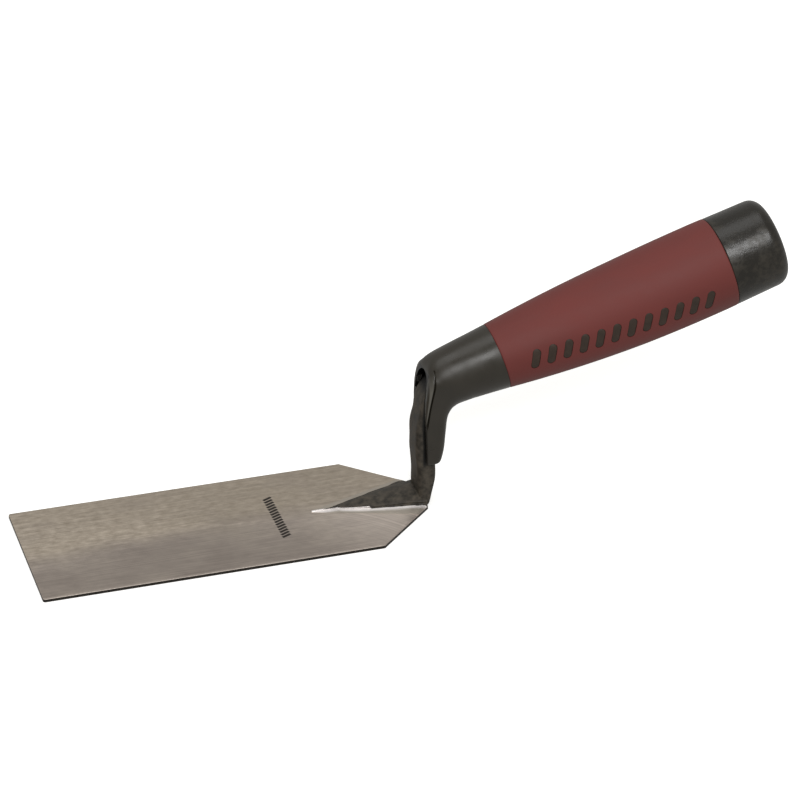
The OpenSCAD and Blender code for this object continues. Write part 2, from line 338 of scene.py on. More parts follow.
def drop_scraps(made):
    """Merges doubled points and keeps the largest island: a Boolean can leave loose slivers."""
    shape = bmesh.new()
    shape.from_mesh(made.data)
    bmesh.ops.remove_doubles(shape, verts=shape.verts, dist=WELD * MM)
    bmesh.ops.dissolve_degenerate(shape, edges=shape.edges, dist=WELD * MM)
    shape.to_mesh(made.data)
    label = islands(made)
    scraps = np.flatnonzero(label != np.bincount(label).argmax())
    shape.verts.ensure_lookup_table()
    bmesh.ops.delete(shape, geom=[shape.verts[i] for i in scraps], context="VERTS")
    shape.to_mesh(made.data)
    shape.free()


def join_solids(made, tool, operation):
    """One exact Boolean between two closed pieces. The tool is used up."""
    modifier = made.modifiers.new("join", "BOOLEAN")
    modifier.operation = operation
    modifier.solver = "EXACT"
    modifier.object = tool
    settle(made)
    mesh = tool.data
    bpy.data.objects.remove(tool)
    bpy.data.meshes.remove(mesh)
    if len(made.data.polygons) == 0:
        raise RuntimeError(f"{made.name}: nothing is left after the {operation.lower()}")
    drop_scraps(made)


def crisp(made, degrees):
    """Smooth shading with hard edges where faces meet at more than an angle."""
    made.data.polygons.foreach_set("use_smooth", np.ones(len(made.data.polygons), bool))
    made.data.set_sharp_from_angle(angle=np.radians(degrees))


def places(made):
    """A piece's points, in millimetres."""
    flat = np.empty(len(made.data.vertices) * 3, np.float32)
    made.data.vertices.foreach_get("co", flat)
    return flat.reshape(-1, 3).astype(float) / MM


def mark(made, name, values):
    """Stores one number for each point, which the piece's material reads."""
    layer = made.data.attributes.new(name, "FLOAT", "POINT")
    layer.data.foreach_set("value", np.asarray(values, np.float32))


def hand_over(made, node, material):
    """Puts a finished piece on the frame in place of a node, with its finish."""
    made.data.materials.clear()
    made.data.materials.append(material)
    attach(made, BODY)
    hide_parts(node)


# --- Materials -----------------------------------------------------------------------------


def connect(tree, node, inputs):
    """Gives a node's sockets, by name or number, a value or another node's output."""
    for key, value in inputs.items():
        if isinstance(value, bpy.types.NodeSocket):
            tree.links.new(value, node.inputs[key])
        else:
            node.inputs[key].default_value = value


def add(tree, kind, inputs=None, out=0, **settings):
    """Adds a node and returns one of its outputs, by name or number. settings are the node's
    own properties, and inputs are its sockets, as connect takes them."""
    made = tree.nodes.new(kind)
    for key, value in settings.items():
        setattr(made, key, value)
    connect(tree, made, inputs or {})
    return made.outputs[out]


def start_material(name):
    """A material, its node tree, its surface shader, and the place that its patterns read."""
    material = bpy.data.materials.new(name)
    material.use_nodes = True
    tree = material.node_tree
    tree.nodes.clear()
    shader = tree.nodes.new("ShaderNodeBsdfPrincipled")
    connect(tree, tree.nodes.new("ShaderNodeOutputMaterial"), {"Surface": shader.outputs[0]})
    return material, tree, shader, add(tree, "ShaderNodeTexCoord", out="Object")


def rgba(colour):
    """A colour as the four numbers that a colour socket takes."""
    return (*colour[:3], 1.0)


def tint(colour, *shares):
    """A colour multiplied by one number, or by one for each channel, and kept below full
    reflection, as the four numbers that a colour socket takes."""
    return rgba([min(c * float(k), 0.95) for c, k in zip(colour, np.broadcast_to(shares, 3))])


def ground_steel(sizes):
    """Carbon steel ground on a belt: a grey metal whose lengthwise scratches blur what it
    reflects. One half has more oxide and looks beige and mottled, the other is smoother and
    a little violet, and the dressed heel shows curved streaks. The edge faces are painted
    dark as shade, and the near edge carries a painted highlight."""
    material, tree, shader, place = start_material("ground_carbon_steel")
    film, dressed_and_edge_highlight, stamp, rim = (
        add(tree, "ShaderNodeAttribute", out="Fac", attribute_name=name)
        for name in ("film", "dressed_and_edge_highlight", "stamp", "rim")
    )
    # Scratches about 0.5 mm apart and 25 mm long. Real ones are finer than can be seen here.
    fine = add(tree, "ShaderNodeMapping", {0: place, "Scale": (40, 2000, 1)})
    scratch = add(tree, "ShaderNodeTexNoise", {"Vector": fine, "Scale": 1.0, "Detail": 3.0})
    # Oxide blotches of 1 to 3 mm, drawn out along the blade.
    wide = add(tree, "ShaderNodeMapping", {0: place, "Scale": (330, 650, 1)})
    blotch = add(
        tree, "ShaderNodeTexNoise", {"Vector": wide, "Scale": 1.0, "Detail": 5.0, "Roughness": 0.62}
    )
    blotchy = add(tree, "ShaderNodeMapRange", {"Value": blotch, "From Min": 0.32, "From Max": 0.68})
    # Slow changes of tone over 15 mm and more.
    slow = add(tree, "ShaderNodeMapping", {0: place, "Scale": (45, 70, 1)})
    cloud = add(tree, "ShaderNodeTexNoise", {"Vector": slow, "Scale": 1.0, "Detail": 3.0})
    clouded = add(tree, "ShaderNodeMapRange", {"Value": cloud, "From Min": 0.3, "From Max": 0.7})
    # Streaks about 0.9 mm wide along arcs round the wheel that dressed the heel.
    swing = add(tree, "ShaderNodeVectorMath", {0: place, 1: DRESSING_CENTRE}, "Value", operation="DISTANCE")
    arcs = add(
        tree, "ShaderNodeTexNoise", {"W": swing, "Scale": 1100.0, "Detail": 2.0}, noise_dimensions="1D"
    )
    beige = add(
        tree, "ShaderNodeMix",
        {0: blotchy, 6: tint(sizes.steel, 0.77, 0.74, 0.69), 7: tint(sizes.steel, 1.0, 0.99, 0.96)},
        out=2, data_type="RGBA",
    )
    mixed = add(tree, "ShaderNodeMath", {0: blotchy, 1: 0.35, 2: clouded}, operation="MULTIPLY_ADD")
    violet = add(
        tree, "ShaderNodeMix",
        {0: mixed, 6: tint(sizes.steel, 0.6, 0.58, 0.6), 7: tint(sizes.steel, 0.78, 0.77, 0.79)},
        out=2, data_type="RGBA",
    )
    # The border between the halves wanders with the slow changes of tone.
    border = add(tree, "ShaderNodeMath", {0: clouded, 1: 0.5, 2: film}, operation="MULTIPLY_ADD")
    half_mask = add(tree, "ShaderNodeMapRange", {"Value": border, "From Min": 0.25, "From Max": 1.25})
    halves = add(tree, "ShaderNodeMix", {0: half_mask, 6: violet, 7: beige}, out=2, data_type="RGBA")
    scored = add(
        tree, "ShaderNodeMapRange",
        {"Value": scratch, "From Min": 0.3, "From Max": 0.7, "To Min": 0.86, "To Max": 1.1},
    )
    streaked = add(
        tree, "ShaderNodeMix", {0: 1.0, 6: halves, 7: scored}, out=2, data_type="RGBA", blend_type="MULTIPLY"
    )
    # The dressed heel's streaks; the same bright colour is also the painted highlight along the near edge.
    polished = add(
        tree, "ShaderNodeMix",
        {0: arcs, 6: tint(sizes.steel, 0.85, 0.85, 0.88), 7: tint(sizes.steel, 1.48, 1.48, 1.55)},
        out=2, data_type="RGBA",
    )
    face = add(tree, "ShaderNodeMix", {0: dressed_and_edge_highlight, 6: streaked, 7: polished}, out=2, data_type="RGBA")
    stamped = add(
        tree, "ShaderNodeMix", {0: stamp, 6: face, 7: rgba(linear("#2a2522"))}, out=2, data_type="RGBA"
    )
    # The edge faces are painted dark, standing in for the shade on them.
    edged = add(
        tree, "ShaderNodeMix", {0: rim, 6: stamped, 7: rgba(linear("#241f1b"))}, out=2, data_type="RGBA"
    )
    # The rim is painted dark as shade, and the strokes hold dirt: neither is metal.
    shaded_rim_and_dirty_strokes = add(tree, "ShaderNodeMath", {0: rim, 1: stamp}, operation="MAXIMUM")
    metallic = add(tree, "ShaderNodeMapRange", {"Value": shaded_rim_and_dirty_strokes, "To Min": 1.0, "To Max": 0.0})
    rough = add(
        tree, "ShaderNodeMapRange",
        {"Value": blotch, "From Min": 0.3, "From Max": 0.7, "To Min": 0.36, "To Max": 0.5},
    )
    bump = add(tree, "ShaderNodeBump", {"Height": scratch, "Strength": 0.35, "Distance": 0.00004})
    connect(
        tree, shader,
        {"Base Color": edged, "Metallic": metallic, "Roughness": rough, "Normal": bump,
         "Anisotropic": 0.35, "Specular IOR Level": 0.25},
    )
    return material


def forged_steel(sizes):
    """Drop-forged carbon steel under a thin black lacquer: brown-black and half matt, with
    scale pits, and bare bright metal where the weld's fillet was ground back. The fillet's near
    side has a painted highlight, and painted shade darkens the steel beside the guard and
    inside the mouth."""
    material, tree, shader, place = start_material("lacquered_forged_steel")
    bare, painted_fillet_highlight, painted_shade = (
        add(tree, "ShaderNodeAttribute", out="Fac", attribute_name=name)
        for name in ("bare", "painted_fillet_highlight", "painted_shade")
    )
    # Scale blotches of about 2.5 mm and pits of about 0.5 mm.
    scale = add(
        tree, "ShaderNodeTexNoise", {"Vector": place, "Scale": 400.0, "Detail": 5.0, "Roughness": 0.6}
    )
    pits = add(tree, "ShaderNodeTexNoise", {"Vector": place, "Scale": 1900.0, "Detail": 2.0})
    blotchy = add(tree, "ShaderNodeMapRange", {"Value": scale, "From Min": 0.35, "From Max": 0.65})
    coat = add(
        tree, "ShaderNodeMix", {0: blotchy, 6: tint(sizes.coat, 0.4), 7: tint(sizes.coat, 1.75)},
        out=2, data_type="RGBA",
    )
    # Painted shade: near-black where the steel meets the guard and inside the mouth.
    with_painted_shade = add(
        tree, "ShaderNodeMix", {0: painted_shade, 6: coat, 7: rgba(linear("#080706"))},
        out=2, data_type="RGBA",
    )
    # Grinding marks about 0.5 mm apart, along the foot.
    along = add(tree, "ShaderNodeMapping", {0: place, "Scale": (60, 2200, 400)})
    drawn = add(tree, "ShaderNodeTexNoise", {"Vector": along, "Scale": 1.0, "Detail": 3.0})
    metal = add(
        tree, "ShaderNodeMix", {0: drawn, 6: rgba(linear("#aca499")), 7: rgba(linear("#c8c0b5"))},
        out=2, data_type="RGBA",
    )
    # A near-white painted highlight on the near side of the ground fillet.
    bright = add(
        tree, "ShaderNodeMix", {0: painted_fillet_highlight, 6: metal, 7: rgba(linear("#fbf6f4"))},
        out=2, data_type="RGBA",
    )
    # The ground border is ragged by about 0.3 mm, so the mask is shifted by the scale.
    ragged = add(tree, "ShaderNodeMath", {0: scale, 1: 0.5}, operation="SUBTRACT")
    shifted = add(tree, "ShaderNodeMath", {0: ragged, 1: 0.3, 2: bare}, operation="MULTIPLY_ADD")
    mask = add(tree, "ShaderNodeMapRange", {"Value": shifted, "From Min": 0.45, "From Max": 0.6})
    both = add(tree, "ShaderNodeMix", {0: mask, 6: with_painted_shade, 7: bright}, out=2, data_type="RGBA")
    gloss = add(
        tree, "ShaderNodeMapRange",
        {"Value": scale, "From Min": 0.3, "From Max": 0.7, "To Min": 0.45, "To Max": 0.65},
    )
    heights = add(tree, "ShaderNodeMath", {0: pits, 1: 0.5, 2: scale}, operation="MULTIPLY_ADD")
    bump = add(tree, "ShaderNodeBump", {"Height": heights, "Strength": 0.5, "Distance": 0.00022})
    connect(
        tree, shader,
        {"Base Color": both, "Metallic": mask, "Roughness": gloss, "Normal": bump, "Specular IOR Level": 0.3},
    )
    return material


def core_plastic(sizes):
    """Filled polypropylene from a spark-eroded mould: near-black, satin, with a fine even
    grain and slightly paler rubbed patches. The lip beside the groove has a painted highlight,
    and painted shade darkens the guard's front edge and the mouth's inside."""
    material, tree, shader, place = start_material("moulded_polypropylene")
    # Mould grain of about 0.35 mm, and rubbed patches of about 6 mm.
    grain = add(tree, "ShaderNodeTexNoise", {"Vector": place, "Scale": 2800.0, "Detail": 2.0})
    patch = add(tree, "ShaderNodeTexNoise", {"Vector": place, "Scale": 160.0, "Detail": 4.0})
    colour = add(
        tree, "ShaderNodeMix", {0: patch, 6: tint(sizes.core_colour, 0.8), 7: tint(sizes.core_colour, 1.3)},
        out=2, data_type="RGBA",
    )
    height = add(tree, "ShaderNodeSeparateXYZ", {0: place}, "Z")
    # Each line seen from the side is a plane, whose x at the working face this gives.
    from_groove, from_steel, from_edge = (
        add(tree, "ShaderNodeVectorMath", {0: place, 1: (1.0, 0.0, -lean)}, "Value", operation="DOT_PRODUCT")
        for lean in (GROOVE_LEAN, LIP_LEAN, EDGE_LEAN)
    )
    # The lip's painted highlight strip lies between a line in front of the groove and a steeper one.
    behind = add(
        tree, "ShaderNodeMapRange",
        {"Value": from_groove, "From Min": (GROOVE_FOOT - 0.5) * MM, "From Max": (GROOVE_FOOT - 0.25) * MM,
         "To Min": 1.0, "To Max": 0.0},
    )
    ahead = add(
        tree, "ShaderNodeMapRange",
        {"Value": from_steel, "From Min": LIP_FOOT * MM, "From Max": (LIP_FOOT + 0.2) * MM},
    )
    below = add(
        tree, "ShaderNodeMapRange",
        {"Value": height, "From Min": (LIP_TOP - 5) * MM, "From Max": LIP_TOP * MM,
         "To Min": 1.0, "To Max": 0.0},
    )
    strip = add(tree, "ShaderNodeMath", {0: behind, 1: ahead}, operation="MULTIPLY")
    scuff_and_highlight_mask = add(tree, "ShaderNodeMath", {0: strip, 1: below}, operation="MULTIPLY")
    # The paler colour is a painted highlight on the lip's rounded edge.
    wear_and_highlight = add(
        tree, "ShaderNodeMix", {0: scuff_and_highlight_mask, 6: colour, 7: rgba(linear("#5c5952"))},
        out=2, data_type="RGBA",
    )
    # Painted shade darkens the guard's front edge beside the steel, and the mouth's inside.
    edge = add(
        tree, "ShaderNodeMapRange",
        {"Value": from_edge, "From Min": EDGE_FOOT * MM, "From Max": (EDGE_FOOT + 0.3) * MM,
         "To Min": 1.0, "To Max": 0.0},
    )
    low = add(
        tree, "ShaderNodeMapRange",
        {"Value": height, "From Min": (EDGE_TOP - 2.5) * MM, "From Max": EDGE_TOP * MM,
         "To Min": 1.0, "To Max": 0.0},
    )
    painted_shade = add(tree, "ShaderNodeMath", {0: edge, 1: low}, operation="MULTIPLY")
    recess = add(tree, "ShaderNodeAttribute", out="Fac", attribute_name="recess")
    shade_mask = add(tree, "ShaderNodeMath", {0: painted_shade, 1: recess}, operation="MAXIMUM")
    # Painted shade: near-black on the guard's front edge and in the mouth.
    with_painted_shade = add(
        tree, "ShaderNodeMix", {0: shade_mask, 6: wear_and_highlight, 7: rgba(linear("#040302"))},
        out=2, data_type="RGBA",
    )
    gloss = add(
        tree, "ShaderNodeMapRange",
        {"Value": patch, "From Min": 0.35, "From Max": 0.65, "To Min": 0.26, "To Max": 0.42},
    )
    bump = add(tree, "ShaderNodeBump", {"Height": grain, "Strength": 0.25, "Distance": 0.00005})
    connect(
        tree, shader,
        {"Base Color": with_painted_shade, "Roughness": gloss, "Normal": bump, "IOR": 1.49, "Specular IOR Level": 0.48},
    )
    return material


def bar_plastic():
    """The same plastic where it shows through the sleeve, browned by rubber that wiped over it."""
    material, tree, shader, place = start_material("moulded_polypropylene_bars")
    # Smears of about 2 mm over the mould's grain of about 0.35 mm.
    smear = add(tree, "ShaderNodeTexNoise", {"Vector": place, "Scale": 500.0, "Detail": 3.0})
    grain = add(tree, "ShaderNodeTexNoise", {"Vector": place, "Scale": 2800.0, "Detail": 2.0})
    colour = add(
        tree, "ShaderNodeMix", {0: smear, 6: rgba(linear("#2a231d")), 7: rgba(linear("#41342b"))},
        out=2, data_type="RGBA",
    )
    bump = add(tree, "ShaderNodeBump", {"Height": grain, "Strength": 0.25, "Distance": 0.00005})
    connect(
        tree, shader,
        {"Base Color": colour, "Roughness": 0.5, "Normal": bump, "IOR": 1.49, "Specular IOR Level": 0.3},
    )
    return material


def soft_rubber(sizes):
    """Thermoplastic rubber moulded over the core: dull dark red with a soft sheen at its
    edges, a fine grain, and faint cloudy wear from the hand."""
    material, tree, shader, place = start_material("thermoplastic_rubber")
    # Grain of about 0.4 mm, and wear in clouds of about 8 mm drawn out along the handle.
    grain = add(tree, "ShaderNodeTexNoise", {"Vector": place, "Scale": 2400.0, "Detail": 3.0})
    turned_place = add(
        tree, "ShaderNodeMapping", {0: place, "Rotation": (0.0, float(PITCH), 0.0), "Scale": (50, 130, 130)}
    )
    cloud = add(tree, "ShaderNodeTexNoise", {"Vector": turned_place, "Scale": 1.0, "Detail": 4.0})
    colour = add(
        tree, "ShaderNodeMix", {0: cloud, 6: tint(sizes.grip_colour, 0.84), 7: tint(sizes.grip_colour, 1.16)},
        out=2, data_type="RGBA",
    )
    gloss = add(
        tree, "ShaderNodeMapRange",
        {"Value": cloud, "From Min": 0.3, "From Max": 0.7, "To Min": 0.56, "To Max": 0.7},
    )
    bump = add(tree, "ShaderNodeBump", {"Height": grain, "Strength": 0.3, "Distance": 0.00006})
    connect(
        tree, shader,
        {"Base Color": colour, "Roughness": gloss, "Normal": bump, "IOR": 1.5, "Specular IOR Level": 0.3,
         "Sheen Weight": 0.04, "Sheen Roughness": 0.5},
    )
    return material


def cap_plastic(sizes):
    """The same black plastic on the butt, glossier and scuffed where it has been set down."""
    material, tree, shader, place = start_material("moulded_polypropylene_cap")
    # Scuffs of about 1.5 mm, in patches of about 8 mm.
    scuff = add(
        tree, "ShaderNodeTexNoise", {"Vector": place, "Scale": 620.0, "Detail": 6.0, "Roughness": 0.7}
    )
    patch = add(tree, "ShaderNodeTexNoise", {"Vector": place, "Scale": 120.0, "Detail": 2.0})
    wear_and_highlight = add(tree, "ShaderNodeMath", {0: scuff, 1: patch}, operation="MULTIPLY")
    scuff_and_highlight_mask = add(tree, "ShaderNodeMapRange", {"Value": wear_and_highlight, "From Min": 0.24, "From Max": 0.38})
    colour = add(
        tree, "ShaderNodeMix", {0: scuff_and_highlight_mask, 6: tint(sizes.core_colour, 0.5), 7: tint(sizes.core_colour, 1.2)},
        out=2, data_type="RGBA",
    )
    gloss = add(tree, "ShaderNodeMapRange", {"Value": scuff_and_highlight_mask, "To Min": 0.26, "To Max": 0.42})
    bump = add(tree, "ShaderNodeBump", {"Height": scuff, "Strength": 0.45, "Distance": 0.0002})
    connect(
        tree, shader,
        {"Base Color": colour, "Roughness": gloss, "Normal": bump, "IOR": 1.49, "Specular IOR Level": 0.45},
    )
    return material


# --- The blade -----------------------------------------------------------------------------

BLADE_HALF = 25.4
HEEL_HALF = 7.2
TAPER = 19.7
CORNER_R = 0.8
STAMP_X = 16.2
STROKE_PITCH = 1.5
STROKE_LEAN = np.radians(25)
STROKE_LONG = 3.0
STROKE_WIDE = 0.8


def blade_half(x):
    """Half the blade's width at x: full up to the taper, then narrowing evenly to the heel,
    and rounded off at the toe's corners."""
    straight = BLADE_HALF - (BLADE_HALF - HEEL_HALF) * np.clip((x - HEEL_X + TAPER) / TAPER, 0, 1)
    return straight - drawn_in(x + HEEL_X, CORNER_R)


def in_stroke(x, y, count, spread=0.0):
    """How deep in a stamped stroke a point lies, from 0 to 1. The strokes are short
    leaning rectangles in a row across the blade, and spread makes each one larger."""
    dx = x - STAMP_X
    nearest = y / STROKE_PITCH - dx * np.tan(STROKE_LEAN) / STROKE_PITCH + (count - 1) / 2
    number = np.clip(np.round(nearest), 0, count - 1)
    dy = y - (number - (count - 1) / 2) * STROKE_PITCH
    u = np.abs(dx * np.cos(STROKE_LEAN) + dy * np.sin(STROKE_LEAN)) - STROKE_LONG / 2
    v = np.abs(dy * np.cos(STROKE_LEAN) - dx * np.sin(STROKE_LEAN)) - STROKE_WIDE / 2
    return ease(spread - np.maximum(u, v), -0.06, 0.1)


def blade_rings(sizes):
    """Flat rings across the blade, one for each x. A ring runs over the top face, which is
    finely divided at the stamp, round one edge, back underneath and up the other edge. The
    edges are quarter circles, and the same rounding draws the first and last rings in."""
    edge = sizes.edge
    count = sizes.strokes
    reach = count * STROKE_PITCH / 2 + 1
    x = np.concatenate(
        [
            -HEEL_X + edge * (1 - np.cos(np.linspace(0, np.pi / 2, 5))),
            np.linspace(-HEEL_X + edge, -HEEL_X + CORNER_R, 7)[1:],
            np.linspace(-HEEL_X + CORNER_R, STAMP_X - 2, 62)[1:],
            np.linspace(STAMP_X - 2, STAMP_X + 2, 31)[1:],
            np.linspace(STAMP_X + 2, HEEL_X - TAPER, 24)[1:],
            np.linspace(HEEL_X - TAPER, HEEL_X - edge, 26)[1:],
            HEEL_X - edge * (1 - np.sin(np.linspace(0, np.pi / 2, 5)))[1:],
        ]
    )
    inset = drawn_in(np.minimum(x + HEEL_X, HEEL_X - x), edge)
    across = np.concatenate(
        [
            np.linspace(-1, -reach / BLADE_HALF, 14)[:-1],
            np.linspace(-reach, reach, 170) / BLADE_HALF,
            np.linspace(reach / BLADE_HALF, 1, 14)[1:],
        ]
    )
    quarter = np.linspace(0, np.pi / 2, 5)
    half = (blade_half(x) - inset)[:, None]
    top = (BLADE_T - inset)[:, None]
    low = inset[:, None]
    flat = half - edge
    under = np.linspace(1, -1, 40)
    y = np.concatenate(
        [
            flat * across,
            flat + edge * np.sin(quarter[1:]),
            flat + edge * np.cos(quarter[:-1]),
            flat * under,
            -flat - edge * np.sin(quarter[1:]),
            -flat - edge * np.cos(quarter[:-1]),
        ],
        axis=1,
    )
    ones = np.ones((1, len(across)))
    z = np.concatenate(
        [
            top * ones,
            top - edge * (1 - np.cos(quarter[1:])),
            low + edge * (1 - np.sin(quarter[:-1])),
            low * np.ones((1, len(under))),
            low + edge * (1 - np.cos(quarter[1:])),
            top - edge * (1 - np.sin(quarter[:-1])),
        ],
        axis=1,
    )
    x_all = np.repeat(x[:, None], y.shape[1], axis=1)
    sunk = in_stroke(x_all, y, count) * (z > BLADE_T - 0.02)
    return np.stack([x_all, y, z - sizes.stroke_depth * sunk], axis=-1)


class TROWEL_OT_blade(bpy.types.Operator):
    """Build the ground steel blade with its stamped strokes"""

    bl_idname = "trowel.blade"
    bl_label = "Blade"

    def execute(self, context):
        sizes = context.scene.trowel_blade
        made = piece("blade_plate", *skin(blade_rings(sizes), steps=3))
        x, y, z = places(made).T
        on_top = ease(z, BLADE_T - 0.6, BLADE_T - 0.3)
        mark(made, "stamp", in_stroke(x, y, sizes.strokes, spread=0.13) * on_top)
        # The oxide's border slants slowly across the middle of the blade.
        split = -2.5 + 0.05 * (x + HEEL_X)
        mark(made, "film", ease(y, split - 7, split + 6))
        # Dressed brighter towards the near side of the heel, and a painted highlight along the near edge's
        # rounding.
        heel = ease(x + 0.5 * y, 12, 58) * ease(-y, 0, 6)
        painted_edge_highlight = 0.5 * ease(-y - blade_half(x), -1.2, -0.5)
        mark(made, "dressed_and_edge_highlight", np.maximum(heel, painted_edge_highlight))
        # The rim mask marks the edge faces, which are painted dark as shade.
        mark(made, "rim", ease(-np.abs(z - BLADE_T / 2), -BLADE_T / 2 + 0.02, -BLADE_T / 2 + 0.1))
        crisp(made, 50)
        hand_over(made, "blade", ground_steel(sizes))
        return {"FINISHED"}


# --- The shank -----------------------------------------------------------------------------

FOOT_TIP = 27.5
RIDGE_X = 36.0
FOOT_H = 3.3
RISER_CORNER = 2.0
TANG_T = 3.6
TANG_W = 6.4
TANG_CORNER = 0.6
BARBS = 5
BARB_PITCH = 9.0
BARB_DEPTH = 1.2
LAST_BARB = TANG_END - 8
# Where the ground border steps outwards along the foot.
JAG_X = 45.4


def ridge_half(x):
    """Half the width of the foot's dark ridge at x."""
    return 0.4 + 6.7 * np.clip((x - RIDGE_X) / (HEEL_X - RIDGE_X), 0, 1) ** 0.7


def foot_rings():
    """The foot's sections along x: a crowned ridge, steep flanks, and a thin ground fillet
    that runs out on the blade, as a smooth curve through the same nine points in each."""
    x = np.linspace(FOOT_TIP, HEEL_X - 0.2, 140)
    share = np.clip((x - RIDGE_X) / (HEEL_X - RIDGE_X), 0, 1)
    crown = 0.3 + (FOOT_H - 0.3) * share
    fillet = np.minimum(0.5 + 0.33 * (x - FOOT_TIP), blade_half(x) - 0.1)
    half = np.minimum(ridge_half(x), fillet - 0.05)
    y = np.stack([fillet, half, half - 0.1 * crown, half * 0.45, half * 0], axis=1)
    z = np.stack([crown * 0 + 0.04, 0.3 * crown, 0.65 * crown, 0.93 * crown, crown], axis=1)
    y = np.concatenate([y, -y[:, -2::-1]], axis=1)
    z = np.concatenate([z, z[:, -2::-1]], axis=1)
    curve = smooth_rows(np.concatenate([y, z]).T, 7)
    y, z = curve.T[: len(x)], curve.T[len(x) :]
    z = np.maximum(z, 0.03)
    base = np.linspace(-1, 1, 16)[None, :] * fillet[:, None]
    y = np.concatenate([y, base], axis=1)
    z = np.concatenate([z, base * 0], axis=1) + BLADE_T
    return np.stack([np.repeat(x[:, None], y.shape[1], axis=1), y, z], axis=-1)


def riser_line(grow):
    """The steel from the foot up round the crank, as rings, grown all round by a gap when it
    cuts the channel that it stands in. It follows a smooth line through the RISER rows and
    then a quarter turn less the handle's pitch."""
    rows = smooth_rows(RISER, 9)[:-1]
    step = np.gradient(rows[:, :2], axis=0)
    step /= np.linalg.norm(step, axis=1)[:, None]
    corner = np.minimum(RISER_CORNER, rows[:, 2] / 2 - 0.2)
    rise = rounded(rows[:, 2] + 2 * grow, rows[:, 3] + 2 * grow, corner, corner)
    turn = np.linspace(0, np.pi / 2 - PITCH, 24)
    middle = np.stack(
        [CRANK_X + CRANK_R * (1 - np.cos(turn)), CRANK_Z - CRANK_RUN + CRANK_R * np.sin(turn)], axis=1
    )
    full = np.ones(len(turn))
    corner = RISER_CORNER * full
    bend = rounded((RISER_T + 2 * grow) * full, (RISER_W + 2 * grow) * full, corner, corner)
    return np.concatenate(
        [
            carried(rows[:, :2], np.stack([step[:, 1], -step[:, 0]], axis=1), rise),
            carried(middle, np.stack([np.cos(turn), -np.sin(turn)], axis=1), bend),
        ]
    )


def tang_rings(grow):
    """The tang along the handle's axis, narrowing evenly from the crank to its end. Barbs are
    notched into its sides, but not into the socket that it stands in, which is grown."""
    start = CRANK_LEAD / np.cos(PITCH) + CRANK_RUN
    s = np.linspace(start + 2, TANG_END + grow, 60)
    share = np.minimum((s - start) / (TANG_END - start), 1)
    middle = np.array([AXIS_X, AXIS_Z]) + s[:, None] * ALONG
    corner = RISER_CORNER + (TANG_CORNER - RISER_CORNER) * share
    thick = RISER_T + (TANG_T - RISER_T) * share
    wide = RISER_W + (TANG_W - RISER_W) * share
    notch = np.zeros(len(s))
    if grow == 0:
        number = (LAST_BARB - s) / BARB_PITCH
        near = np.abs(number - np.round(number)) * BARB_PITCH
        notch = BARB_DEPTH * ease(-near, -1.0, 0) * (number > -0.3) * (number < BARBS - 0.7)
    section = rounded(thick + 2 * grow, wide + 2 * grow - notch, corner, corner)
    return carried(middle, np.repeat(-UPWARD[None, :], len(s), axis=0), section)


def forged(points, amount):
    """Points moved by a slow wave in each direction, as hammer and die leave steel: the
    waves are products of sines with lengths of 9 to 16 mm."""
    x, y, z = points.T
    shift = np.stack(
        [
            np.sin(z / 2.1 + 0.7) * np.cos(y / 1.9) + 0.5 * np.sin(z / 1.1),
            np.sin(z / 2.6) * np.cos(x / 2.2 + 1) + 0.4 * np.sin(x / 1.5 + 2),
            np.sin(x / 2.4 + 0.4) * np.cos(y / 1.7 + 0.9),
        ],
        axis=1,
    )
    held = ease(z, BLADE_T + 0.4, BLADE_T + 2) * ease(-z, -37, -33)
    return points + amount * shift * held[:, None]


class TROWEL_OT_shank(bpy.types.Operator):
    """Build the forged shank: foot, riser, crank and barbed tang"""

    bl_idname = "trowel.shank"
    bl_label = "Shank"

    def execute(self, context):
        sizes = context.scene.trowel_shank
        rise = np.concatenate([riser_line(0), tang_rings(0)])
        rise[:, :, 2] = np.maximum(rise[:, :, 2], BLADE_T)
        made = piece("shank_forging", *skin(rise))
        join_solids(made, piece("foot", *skin(foot_rings())), "UNION")
        at = places(made)
        x, y, z = at.T
        # The fillet is ground bare on both sides of the dark ridge, and given a painted highlight on the near
        # one.
        jag = ease(x, JAG_X, JAG_X + 0.6)
        near = ridge_half(x) - 0.12 + 0.45 * jag + 0.012 * np.clip(x - 50, 0, None)
        far = 0.34 * (x - 31.8)
        ground = np.maximum(ease(-y, near - 0.15, near + 0.15), ease(y, far - 0.15, far + 0.15))
        mark(made, "bare", ground * (z < BLADE_T + 2.5) * (x < HEEL_X - 0.5))
        strip = 2.2 - 0.6 * jag
        mark(made, "painted_fillet_highlight", (1 - ease(-y - near, 0.4 * strip, strip)) * ease(-y, -0.5, 0.1))
        # Painted shade along the guard's front edge, where the steel meets it, and over the steel inside the
        # mouth.
        gap = np.abs(x - np.interp(z, [15, 28, 40], [63.2, 62.75, 62.6]) + 0.25)
        beside_guard = (1 - ease(gap, 0.2, 0.8)) * ease(np.abs(y), 4.2, 4.8) * ease(z, 13.5, 15.5)
        mark(made, "painted_shade", np.maximum(beside_guard, ease(z, 38.5, 41)))
        moved = forged(at, sizes.unevenness)
        made.data.vertices.foreach_set("co", (moved * MM).ravel().astype(np.float32))
        made.data.update()
        crisp(made, 38)
        hand_over(made, "shank", forged_steel(sizes))
        return {"FINISHED"}


# --- The handle ----------------------------------------------------------------------------

COLLAR_S = 6.0
COLLAR_R = 9.0
COLLAR_FLARE = 1.6
SWELL_R = 14.55
NARROWING = 3.95
SAG_S = 70.0
SPIGOT_R = 8.0
SPIGOT_LONG = 12.0
GROOVE_LOW = 26.5
GROOVE_HIGH = 50.2
SLOT_LOW = 13.0
SLOT_HIGH = 42.0


